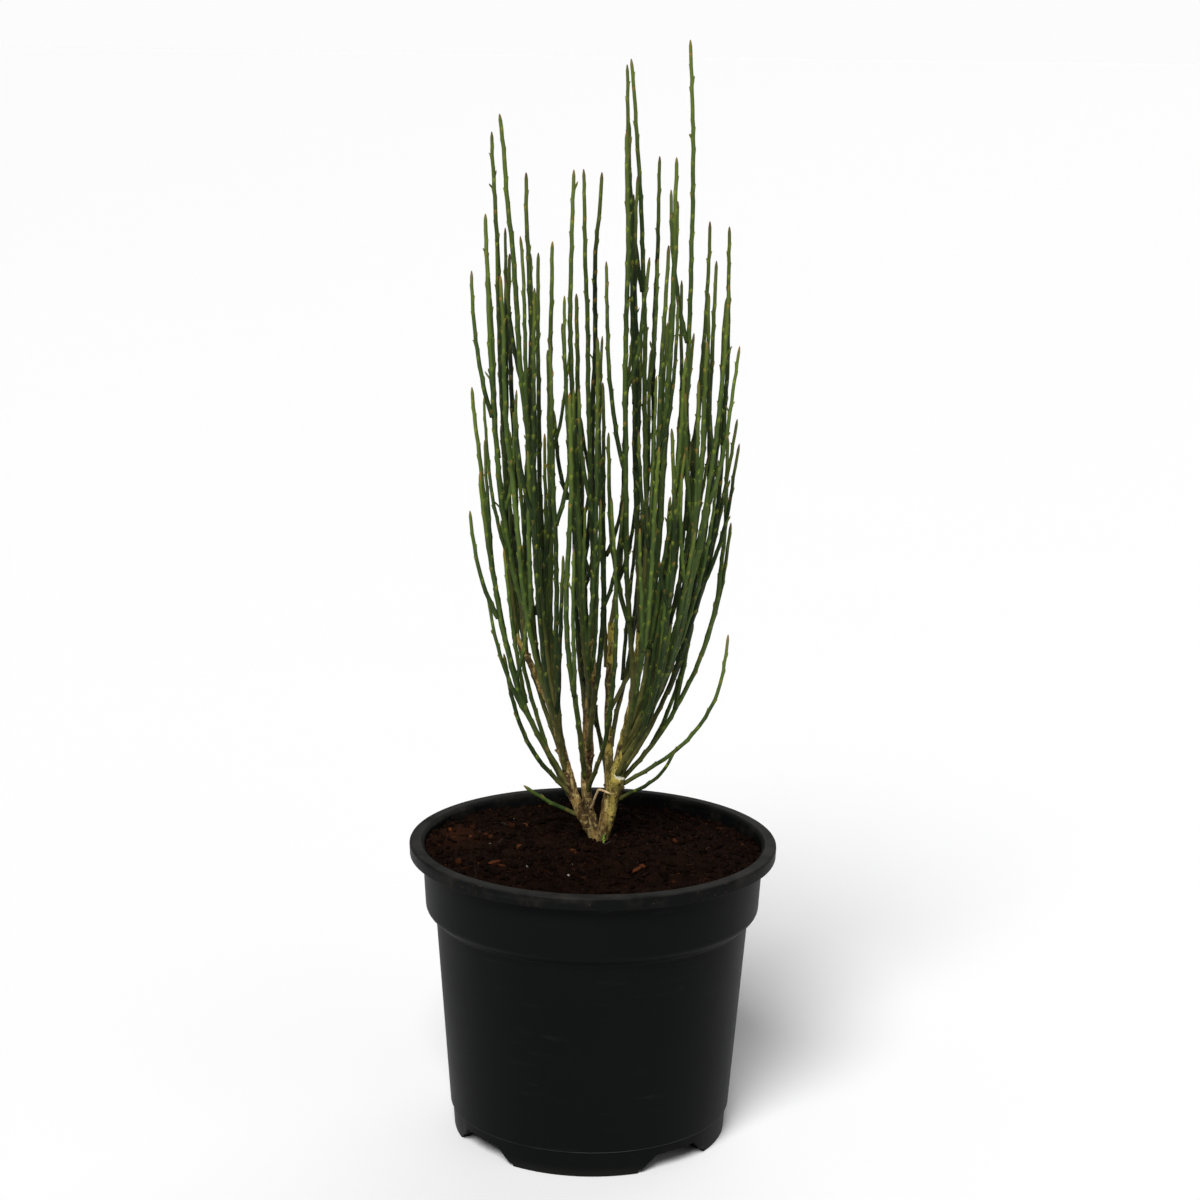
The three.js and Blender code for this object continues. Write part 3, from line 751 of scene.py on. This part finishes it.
def make_branches():
    material = twig_material()
    for number, node in enumerate(BRANCHES):
        rng = random.Random(SEED * 1000 + number)
        shape = Shape()
        family_tone = rng.uniform(0.1, 0.9)
        for rank, line in enumerate(branch_lines(node)):
            line = wobbled(smooth_line(line, SMOOTHING), rng)
            if rank == 0:
                line = np.concatenate([[line[0] + unit(line[0] - line[1]) * ROOT_BEFORE], line])
            root, neck = (TWIG_ROOT, TWIG_NECK) if rank == 0 else (SHOOT_ROOT, SHOOT_NECK)
            size = rng.uniform(0.88, 1.1)
            x, y, _ = line.mean(axis=0)
            # Twigs behind the crown and inside the bundle get a darker tone: painted shade.
            shade_behind = min(max((y - CROWN.y) / SHADE_DEPTH, 0), 1)
            shade_inside = 1 - min(math.hypot(x - CROWN.x, y - CROWN.y) / SHADE_INNER_REACH, 1)
            tone = family_tone - 0.70 * shade_behind - 0.30 * shade_inside + rng.uniform(-0.25, 0.25)
            tone = min(max(tone, 0), 1)
            add_twig(shape, line, root * size, neck * size, tone, rng, is_shoot=rank > 0)
        piece = shape.piece("twigs_" + node[len("branch_") :], material)
        place_piece(piece, "green_twig", node)


# ---- woody stems


def cut_face_middle():
    """The middle of the pruned end on the right stem: the broad face that looks up, low on the stem."""
    mesh = NODES["stem_right"].data
    _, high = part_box("stem_right")
    flat = [p for p in mesh.polygons if p.normal.z > 0.75 and p.center.z < high.z - 40 * MM]
    flat = [p for p in flat if p.center.z > SOIL_TOP + 20 * MM]
    area = sum(p.area for p in flat)
    return sum((Vector(p.center) * p.area for p in flat), Vector()) / area


def make_wood():
    """The crown and its stems as one grown-together piece with rough bark, scars and a pruned end."""
    shape = Shape()
    stubs = []
    for node in WOOD:
        points, triangles = welded(node)
        shape.add(points, triangles.tolist())
        if node != "root_crown":
            stubs += add_stubs(shape, points, triangles, node)
    wood = shape.piece("woody_base", bark_material())
    grow = wood.modifiers.new("grow", "DISPLACE")
    grow.strength = WOOD_GROWTH
    grow.mid_level = 0.0
    remesh = wood.modifiers.new("remesh", "REMESH")
    remesh.mode = "VOXEL"
    remesh.voxel_size = WOOD_VOXEL
    smooth = wood.modifiers.new("smooth", "SMOOTH")
    smooth.factor = 0.5
    smooth.iterations = 7
    carve_bark(evaluated(wood), stubs)
    place_piece(wood, "bark", *WOOD)


def carve_bark(mesh, stubs):
    """Fissures, knobs and scars in the bark, and the marks that colour it."""
    points = numbers_of(mesh, "co")
    normals = numbers_of(mesh, "normal")
    cut = cut_face_middle()
    scars = np.concatenate([scar_places(points), np.array(stubs)])
    marks = np.zeros((len(points), 4))
    moved = points.copy()
    for i, (point, normal) in enumerate(zip(points, normals)):
        p = Vector(point)
        fissures = noise.fractal(Vector((p.x * 620, p.y * 620, p.z * 130)), 1.0, 2.0, 3)
        knobs = noise.noise(Vector((p.x * 240, p.y * 240, p.z * 170)) + Vector((7, 3, 1)))
        away = np.linalg.norm(scars - point, axis=1).min()
        scar = max(0.0, 1 - away / SCAR_RADIUS)
        is_cut = (p - cut).length < CUT_RADIUS and normal[2] > 0.62
        relief = (FISSURE_RELIEF * fissures + KNOB_RELIEF * knobs - SCAR_RELIEF * scar) * MM
        moved[i] = point + normal * (0.0 if is_cut else relief)
        marks[i] = (greenness(p), float(is_cut), min(scar * 1.2, 1.0), 0)
    mesh.vertices.foreach_set("co", moved.ravel())
    set_marks(mesh, marks)
    mesh.shade_smooth()


def add_stubs(shape, points, triangles, node):
    """Short dead stubs of shed twigs on a stem. Returns two places at the end of each."""
    rng = random.Random(f"{SEED} {node}")
    ends = []
    corners = points[triangles]
    middles = corners.mean(axis=1)
    facing = unit(np.cross(corners[:, 1] - corners[:, 0], corners[:, 2] - corners[:, 0]))
    fit = [i for i in range(len(middles)) if middles[i][2] > SOIL_TOP + 9 * MM and abs(facing[i][2]) < 0.6]
    for _ in range(STUBS):
        i = rng.choice(fit)
        reach = rng.uniform(1.2, 3.6) * MM
        axis = unit(facing[i] + np.array([0, 0, rng.uniform(0.3, 1.1)]))
        foot = middles[i] - facing[i] * 1.0 * MM
        line = foot + axis * (np.array([0.0, 0.5, 1.0]) * (reach + 1.0 * MM))[:, None]
        shape.add(*tube(line, rng.uniform(0.65, 0.95) * MM * np.array([1.1, 0.95, 0.75]), 7))
        ends += [line[-1], (line[1] + line[2]) / 2]
    return ends


def scar_places(points):
    """Places of old leaf and twig scars, scattered over the stems."""
    rng = np.random.RandomState(SEED)
    above = points[points[:, 2] > SOIL_TOP + 2 * MM]
    return above[rng.choice(len(above), SCARS, replace=False)]


def greenness(point):
    """Olive on the right stem and higher up, tan elsewhere."""
    height = (point.z - SOIL_TOP) / (130 * MM)
    right = min(max((point.x - CROWN.x + 1 * MM) / (6 * MM), 0), 1)
    return min(max(0.75 * right + 0.8 * (height - 0.45), 0), 1)


def make_stalk():
    """The bent dry straw, frayed at its end, on the line of its node."""
    points, _ = welded("dry_stalk")
    order = stalk_order(points)
    line = smooth_line(order, 1.2 * MM)
    places = np.linspace(0, along_line(line)[-1], 26)
    line = sampled(line, places)
    rng = random.Random(SEED)
    radii = np.array([0.62 * MM * rng.uniform(0.85, 1.12) for _ in places])
    radii[-1] *= 0.4
    turn = 2 * np.pi * np.arange(7) / 7
    flutes = 1 + 0.10 * np.cos(turn * 3)
    shape = Shape()
    shape.add(*tube(line, radii[:, None] * flutes, 7))
    for _ in range(5):
        drift = np.array([rng.uniform(-1, 1) for _ in range(3)]) * 0.5 * MM
        out = unit(line[-1] - line[-3]) * rng.uniform(0.8, 2.2) * MM + drift
        fibre = line[-1] + np.linspace(-0.3, 1, 4)[:, None] * out
        shape.add(*tube(fibre, np.array([0.14, 0.12, 0.1, 0.03]) * MM, 4))
    place_piece(shape.piece("bent_straw", straw_material()), "dry_straw", "dry_stalk")


def stalk_order(points):
    """The middles of a thin tube's rings, in order along it."""
    left = [np.array(p) for p in points]
    current = min(left, key=lambda p: p[2])
    line = []
    while left:
        near = [p for p in left if np.linalg.norm(p - current) < 1.6 * MM]
        line.append(np.mean(near, axis=0))
        left = [p for p in left if np.linalg.norm(p - current) >= 1.6 * MM]
        if left:
            current = min(left, key=lambda p: np.linalg.norm(p - line[-1]))
    return np.array(line)


def make_bud():
    """A tuft of small fresh leaves round a short shoot, in the place of its node."""
    low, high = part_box("basal_bud")
    middle = np.array((low + high) / 2)
    height = high.z - low.z
    rng = random.Random(SEED)
    shape = Shape()
    ground = soil_height(middle[0], middle[1])
    foot = np.array([middle[0], middle[1], ground - 1.0 * MM])
    stem = foot + np.linspace(0, 1, 5)[:, None] * np.array([0, -0.3 * MM, height * 0.8])
    shape.add(*tube(stem, np.array([0.6, 0.55, 0.5, 0.45, 0.2]) * MM, 7))
    for k in range(9):
        turn = 2.4 * k
        out = np.array([math.cos(turn), math.sin(turn), 0.0])
        start = foot + np.array([0, 0, height * (0.35 + 0.065 * k)])
        reach = rng.uniform(1.1, 1.9) * MM * (1 - 0.05 * k)
        add_leaf(shape, start, out, reach, rng.uniform(0.9, 1.5) * MM)
    place_piece(shape.piece("fresh_bud", bud_material()), "bud_green", "basal_bud")


def add_leaf(shape, start, out, reach, lift):
    """A small cupped leaf with a little thickness."""
    across = np.array([-out[1], out[0], 0.0])
    steps, half = 6, 0.5 * MM
    top, bottom = [], []
    for i in range(steps + 1):
        share = i / steps
        middle = start + out * reach * share + np.array([0, 0, lift * share**0.7])
        width = half * math.sin(math.pi * min(share + 0.08, 1.0)) ** 0.8
        for side in (-1, 0, 1):
            cup = np.array([0, 0, 0.18 * MM * abs(side)])
            top.append(middle + across * side * width + cup)
            bottom.append(middle + across * side * width * 0.96 + cup - np.array([0, 0, 0.12 * MM]))
    rows = len(top)
    faces = []
    for i in range(steps):
        for k in range(2):
            a = 3 * i + k
            faces.append((a, a + 1, a + 4, a + 3))
            faces.append((rows + a, rows + a + 3, rows + a + 4, rows + a + 1))
        for k in (0, 2):
            a = 3 * i + k
            faces.append((a, a + 3, rows + a + 3, rows + a) if k == 0 else (a, rows + a, rows + a + 3, a + 3))
    shape.add(top + bottom, faces)


# ---- compost


def wall_radius(height):
    """The outside radius of the pot's wall under its lip."""
    collar = COLLAR_RADIUS - DRAFT * (LIP_BOTTOM - height)
    if height >= SHOULDER_TOP:
        return collar
    down = min((SHOULDER_TOP - height) / (SHOULDER_TOP - SHOULDER_BOTTOM), 1)
    body = collar - SHOULDER_STEP * down
    return body if height >= RIDGE_HEIGHT else body - RIDGE_STEP


def soil_height(x, y):
    """The compost's surface: a low mound, heaped at the left, lower at the back right, and crumbly."""
    reach = math.hypot(x, y) / wall_radius(SOIL_TOP)
    fall = min(max((reach - 0.3) / 0.7, 0), 1)
    height = SOIL_TOP - SOIL_EDGE_DROP * fall * fall * (3 - 2 * fall)
    height -= SOIL_TILT * max(0.8 * x + 0.6 * y, -60 * MM) / (85 * MM)
    height += HEAP_HEIGHT * nearness(x, y, HEAP)
    rise, reach = SOIL_MOUND
    height += rise * math.exp(-(((x - CROWN.x) ** 2 + (y - CROWN.y) ** 2) / reach**2))
    lumps = noise.noise(Vector((x * 55, y * 55, 3.1))) * 1.8
    lumps += noise.noise(Vector((x * 150, y * 150, 8.7))) * 1.8
    lumps -= abs(noise.noise(Vector((x * 330, y * 330, 1.9)))) * 2.4
    lumps += noise.noise(Vector((x * 800, y * 800, 5.2))) * 0.5
    return min(height + lumps * MM, RIM_HEIGHT + 1.5 * MM)


def make_soil():
    """The compost as one closed body: its crumbly surface, its sides against the wall, and its underside."""
    shape = Shape()
    edge = wall_radius(SOIL_TOP) - WALL - 0.05 * MM
    heights = [SHOULDER_TOP, SHOULDER_BOTTOM, 60 * MM, RIDGE_HEIGHT + RIDGE_STEP, CHANNEL_HEIGHT + 2 * WALL]
    rings = [(edge * i / SOIL_RINGS, i % 2, None) for i in range(1, SOIL_RINGS + 1)]
    rings += [(wall_radius(height) - WALL - SOIL_GAP, SOIL_RINGS % 2, height) for height in heights]
    points = [(0.0, 0.0, soil_height(0, 0))]
    for radius, odd, height in rings:
        for k in range(SOIL_SIDES):
            turn = math.tau * (k + 0.5 * odd) / SOIL_SIDES
            x, y = radius * math.cos(turn), radius * math.sin(turn)
            points.append((x, y, soil_height(x, y) if height is None else height))
    rows = len(rings)
    faces = [(0, 1 + k, 1 + (k + 1) % SOIL_SIDES) for k in range(SOIL_SIDES)]
    for i in range(rows - 1):
        low, high = 1 + i * SOIL_SIDES, 1 + (i + 1) * SOIL_SIDES
        for k in range(SOIL_SIDES):
            after = (k + 1) % SOIL_SIDES
            faces.append((low + k, high + k, high + after, low + after))
    last = 1 + (rows - 1) * SOIL_SIDES
    faces.append(tuple(range(last + SOIL_SIDES - 1, last - 1, -1)))
    marks = np.zeros((len(points), 4))
    for i, (x, y, _) in enumerate(points):
        marks[i, 0] = 0.5 + 0.6 * noise.noise(Vector((x * 120, y * 120, 2.2)))
        marks[i, 1] = 0.18 * nearness(x, y, CLUMP)
    marks[:, 0] = marks[:, 0].clip(0, 1)
    shape.add(points, faces, marks)
    material = compost_material()
    place_piece(shape.piece("compost_bed", material), "compost", "soil")
    make_crumbs(material)


def nearness(x, y, spot):
    """How near a place is to the middle of a spot, as a share that falls off over its reach."""
    middle, reach = spot
    return math.exp(-(((x - middle[0]) / reach[0]) ** 2) - ((y - middle[1]) / reach[1]) ** 2)


def ico_shape(subdivisions):
    """Points and faces of a unit ball of triangles."""
    ball = bpy.data.meshes.new("ball")
    work = bmesh.new()
    bmesh.ops.create_icosphere(work, subdivisions=subdivisions, radius=1.0)
    work.to_mesh(ball)
    work.free()
    points = numbers_of(ball, "co")
    faces = [tuple(p.vertices) for p in ball.polygons]
    bpy.data.meshes.remove(ball)
    return points, faces


def scattered(reach, rng):
    """A place drawn evenly from a disc round the pot's axis."""
    radius, turn = reach * math.sqrt(rng.random()), rng.uniform(0, math.tau)
    return radius * math.cos(turn), radius * math.sin(turn)


def make_crumbs(material):
    """Loose crumbs, bark chips, fibres and a few perlite grains on the compost."""
    rng = random.Random(SEED + 1)
    small, large = ico_shape(1), ico_shape(2)
    shape = Shape()
    edge = wall_radius(SOIL_TOP) - WALL - 1.2 * MM
    for _ in range(CRUMBS):
        x, y = scattered(edge, rng)
        if math.hypot(x - CROWN.x, y - CROWN.y) < 4 * MM:
            continue
        size = 0.40 * MM + 1.9 * MM * rng.random() ** 3.5
        points, faces = large if size > 1.1 * MM else small
        lighter = nearness(x, y, CLUMP)
        size *= 1 - 0.35 * lighter
        orange = rng.uniform(0.2, 0.9) if rng.random() < 0.030 + 0.22 * lighter else 0.0
        mark = (rng.random() ** 2, orange, 0.0, 0.0)
        stretch = (1.0, rng.uniform(0.5, 1.0), rng.uniform(0.45, 0.9))
        if rng.random() < 0.12:
            stretch = (rng.uniform(1.6, 2.6), 0.5, 0.4)
        add_crumb(shape, points, faces, (x, y), size, stretch, mark, rng)
    for _ in range(PERLITE):
        place = scattered(edge, rng)
        mark = (0.5, 0.0, rng.uniform(0.2, 0.75), 0.0)
        add_crumb(shape, *small, place, rng.uniform(0.5, 0.95) * MM, (1, 0.9, 0.8), mark, rng)
    for _ in range(FIBRES):
        add_fibre(shape, edge, rng)
    place_piece(shape.piece("compost_crumbs", material), "compost")


def add_crumb(shape, points, faces, place, size, stretch, mark, rng):
    """One lump, squashed and turned at random, sunk a little in the surface."""
    offset = Vector([rng.uniform(0, 99) for _ in range(3)])
    lumpy = [1 + 0.55 * noise.noise(Vector(p) * 1.4 + offset) for p in points]
    turn = Matrix.Rotation(rng.uniform(0, math.tau), 3, "Z")
    turn = turn @ Matrix.Rotation(rng.uniform(-0.5, 0.5), 3, "X")
    shaped = points * np.array(lumpy)[:, None] * np.array(stretch) * size
    x, y = place
    middle = np.array([x, y, soil_height(x, y) + size * 0.25])
    shape.add(shaped @ np.array(turn).T + middle, faces, mark)


def add_fibre(shape, edge, rng):
    """A thin root or straw fibre, lying in a loose curve on the surface."""
    x, y = scattered(edge - 8 * MM, rng)
    heading = rng.uniform(0, math.tau)
    bend = rng.uniform(-0.5, 0.5)
    step = rng.uniform(0.7, 1.7) * MM
    line = []
    for _ in range(7):
        line.append((x, y, soil_height(x, y) + rng.uniform(0.15, 0.7) * MM))
        x += step * math.cos(heading)
        y += step * math.sin(heading)
        heading += bend
    mark = (rng.uniform(0.3, 1), rng.random() ** 3 * 0.5, rng.random() ** 8 * 0.12, 0)
    width = rng.uniform(0.10, 0.24) * MM
    shape.add(*tube(np.array(line), width * np.array([0.5, 1, 1, 1, 1, 0.9, 0.3]), 4), mark)


# ---- pot


def filleted(corners):
    """A profile whose corners (radius, height, fillet) are rounded."""
    points = []
    for i, (x, z, fillet) in enumerate(corners):
        if fillet == 0 or i in (0, len(corners) - 1):
            points.append((x, z))
            continue
        corner = Vector((x, z))
        before = (Vector(corners[i - 1][:2]) - corner).normalized()
        after = (Vector(corners[i + 1][:2]) - corner).normalized()
        for k in range(5):
            share = k / 4
            a = corner + before * fillet * (1 - share)
            b = corner + after * fillet * share
            points.append(tuple(a.lerp(b, share)))
    return points


def turned(name, profile):
    """A closed body turned about Z from a profile whose two ends lie on the axis."""
    ring = profile[1:-1]
    points = [(0.0, 0.0, profile[0][1])]
    for k in range(POT_SIDES):
        turn = math.tau * k / POT_SIDES
        points += [(x * math.cos(turn), x * math.sin(turn), z) for x, z in ring]
    points.append((0.0, 0.0, profile[-1][1]))
    count, last = len(ring), len(points) - 1
    faces = []
    for k in range(POT_SIDES):
        here, after = 1 + k * count, 1 + ((k + 1) % POT_SIDES) * count
        faces.append((0, after, here))
        faces.append((last, here + count - 1, after + count - 1))
        for i in range(count - 1):
            faces.append((here + i, after + i, after + i + 1, here + i + 1))
    return plain_object(name, points, faces)


def channel_heading(quarter):
    """The direction of a channel from the axis, counted round in quarter turns."""
    return CHANNEL_TURN - math.pi / 2 + quarter * math.pi / 2


def channel_bar(grow, quarter):
    """One channel across the base, as a long bar with a trapezoid section, grown on every side."""
    half = [
        (CHANNEL_AT_GROUND + grow, -10 * MM),
        (CHANNEL_AT_GROUND + grow, PAD_HEIGHT + grow),
        (CHANNEL_AT_GROUND - PAD_STEP + grow, PAD_HEIGHT + grow),
        (CHANNEL_AT_ROOF + 1.5 * MM + grow, CHANNEL_HEIGHT - 0.9 * MM + grow),
        (CHANNEL_AT_ROOF + grow, CHANNEL_HEIGHT + grow),
    ]
    outline = half + [(-x, z) for x, z in reversed(half)]
    turn = channel_heading(quarter)
    along = Vector((math.cos(turn), math.sin(turn), 0))
    across = Vector((-math.sin(turn), math.cos(turn), 0))
    points = []
    for end in (-1, 1):
        points += [along * end * RIM_RADIUS + across * x + Vector((0, 0, z)) for x, z in outline]
    count = len(outline)
    faces = [tuple(range(count)), tuple(range(2 * count - 1, count - 1, -1))]
    faces += [(i, i + count, (i + 1) % count + count, (i + 1) % count) for i in range(count)]
    return plain_object("channel", points, faces)


def drill(x, y):
    """A round cutter for one drain hole."""
    sides = 32
    turns = [math.tau * k / sides for k in range(sides)]
    points = []
    for height in (CHANNEL_HEIGHT - 6 * MM, CHANNEL_HEIGHT + 6 * MM):
        points += [(x + DRAIN_RADIUS * math.cos(t), y + DRAIN_RADIUS * math.sin(t), height) for t in turns]
    faces = [tuple(reversed(range(sides))), tuple(range(sides, 2 * sides))]
    faces += [(k, (k + 1) % sides, (k + 1) % sides + sides, k + sides) for k in range(sides)]
    return plain_object("drill", points, faces)


def cut_away(piece, cutters):
    """Cuts a body by others, which are then removed."""
    for cutter in cutters:
        fix_normals(cutter)
        modifier = piece.modifiers.new("cut", "BOOLEAN")
        modifier.operation = "DIFFERENCE"
        modifier.solver = "EXACT"
        modifier.object = cutter
    evaluated(piece)
    for cutter in cutters:
        bpy.data.objects.remove(cutter)


def fix_normals(piece):
    work = bmesh.new()
    work.from_mesh(piece.data)
    bmesh.ops.recalc_face_normals(work, faces=work.faces)
    work.to_mesh(piece.data)
    work.free()


def wall_corners(inset, fillets):
    """The wall's corners from the ridge up to the collar, drawn in by an inset."""
    under = RIDGE_HEIGHT - 0.05 * MM
    over = RIDGE_HEIGHT + 0.55 * MM
    heights = [under, over, SHOULDER_BOTTOM, SHOULDER_TOP]
    return [(wall_radius(h) - inset, h, f) for h, f in zip(heights, fillets)]


def pot_outline():
    """The outside of the pot, filled in, with its turned-down lip."""
    top = RIM_HEIGHT
    return [
        (0, 0, 0),
        (wall_radius(0), 0, 1.0 * MM),
        *wall_corners(0, (0.3 * MM, 0.5 * MM, 1.2 * MM, 2.2 * MM)),
        (COLLAR_RADIUS - 0.2 * MM, top - WALL, 0.8 * MM),
        (RIM_RADIUS - WALL, top - WALL - 0.2 * MM, 0.8 * MM),
        (RIM_RADIUS - WALL, LIP_BOTTOM, 0.3 * MM),
        (RIM_RADIUS - 0.3 * MM, LIP_BOTTOM, 0.4 * MM),
        (RIM_RADIUS, top - 0.15 * MM, LIP_ROUND),
        (COLLAR_RADIUS, top, 0.0),
        (0, top, 0),
    ]


def cavity_outline():
    """The inside of the pot, up through its mouth."""
    top = RIM_HEIGHT
    return [
        (0, WALL, 0),
        (wall_radius(0) - WALL, WALL, 1.0 * MM),
        *wall_corners(WALL, (0.3 * MM, 0.5 * MM, 1.2 * MM, 1.6 * MM)),
        (COLLAR_RADIUS - WALL, top - 1.8 * MM, 0.6 * MM),
        (COLLAR_RADIUS + 0.6 * MM, top, 0.3 * MM),
        (COLLAR_RADIUS + 0.6 * MM, top + 5 * MM, 0),
        (0, top + 5 * MM, 0),
    ]


def drain_drills():
    """Cutters for the drain holes: one in the middle, and one in each arm of the channels at each reach."""
    drills = []
    for reach in DRAIN_REACH:
        for quarter in range(4 if reach else 1):
            turn = channel_heading(quarter)
            drills.append(drill(reach * math.cos(turn), reach * math.sin(turn)))
    return drills


def make_pot():
    """The moulded pot: turned, then cut by its channels and by a cavity that leaves their roofs."""
    pot = turned("moulded_pot", filleted(pot_outline()))
    cavity = turned("cavity", filleted(cavity_outline()))
    fix_normals(pot)
    fix_normals(cavity)
    cut_away(cavity, [channel_bar(WALL, 0), channel_bar(WALL, 1)])
    holes = drain_drills()
    cut_away(pot, [channel_bar(0, 0), channel_bar(0, 1), cavity, *holes])
    bevel = pot.modifiers.new("bevel", "BEVEL")
    bevel.width = 0.35 * MM
    bevel.segments = 2
    bevel.limit_method = "ANGLE"
    bevel.angle_limit = math.radians(50)
    mesh = evaluated(pot)
    mesh.shade_smooth()
    mesh.set_sharp_from_angle(angle=math.radians(38))
    mesh.materials.clear()
    mesh.materials.append(pot_material())
    place_piece(pot, "pot_plastic", "pot")


# ---- the whole scene


make_camera()
make_studio()
make_floor()
make_pot()
make_soil()
make_wood()
make_branches()
make_stalk()
make_bud()
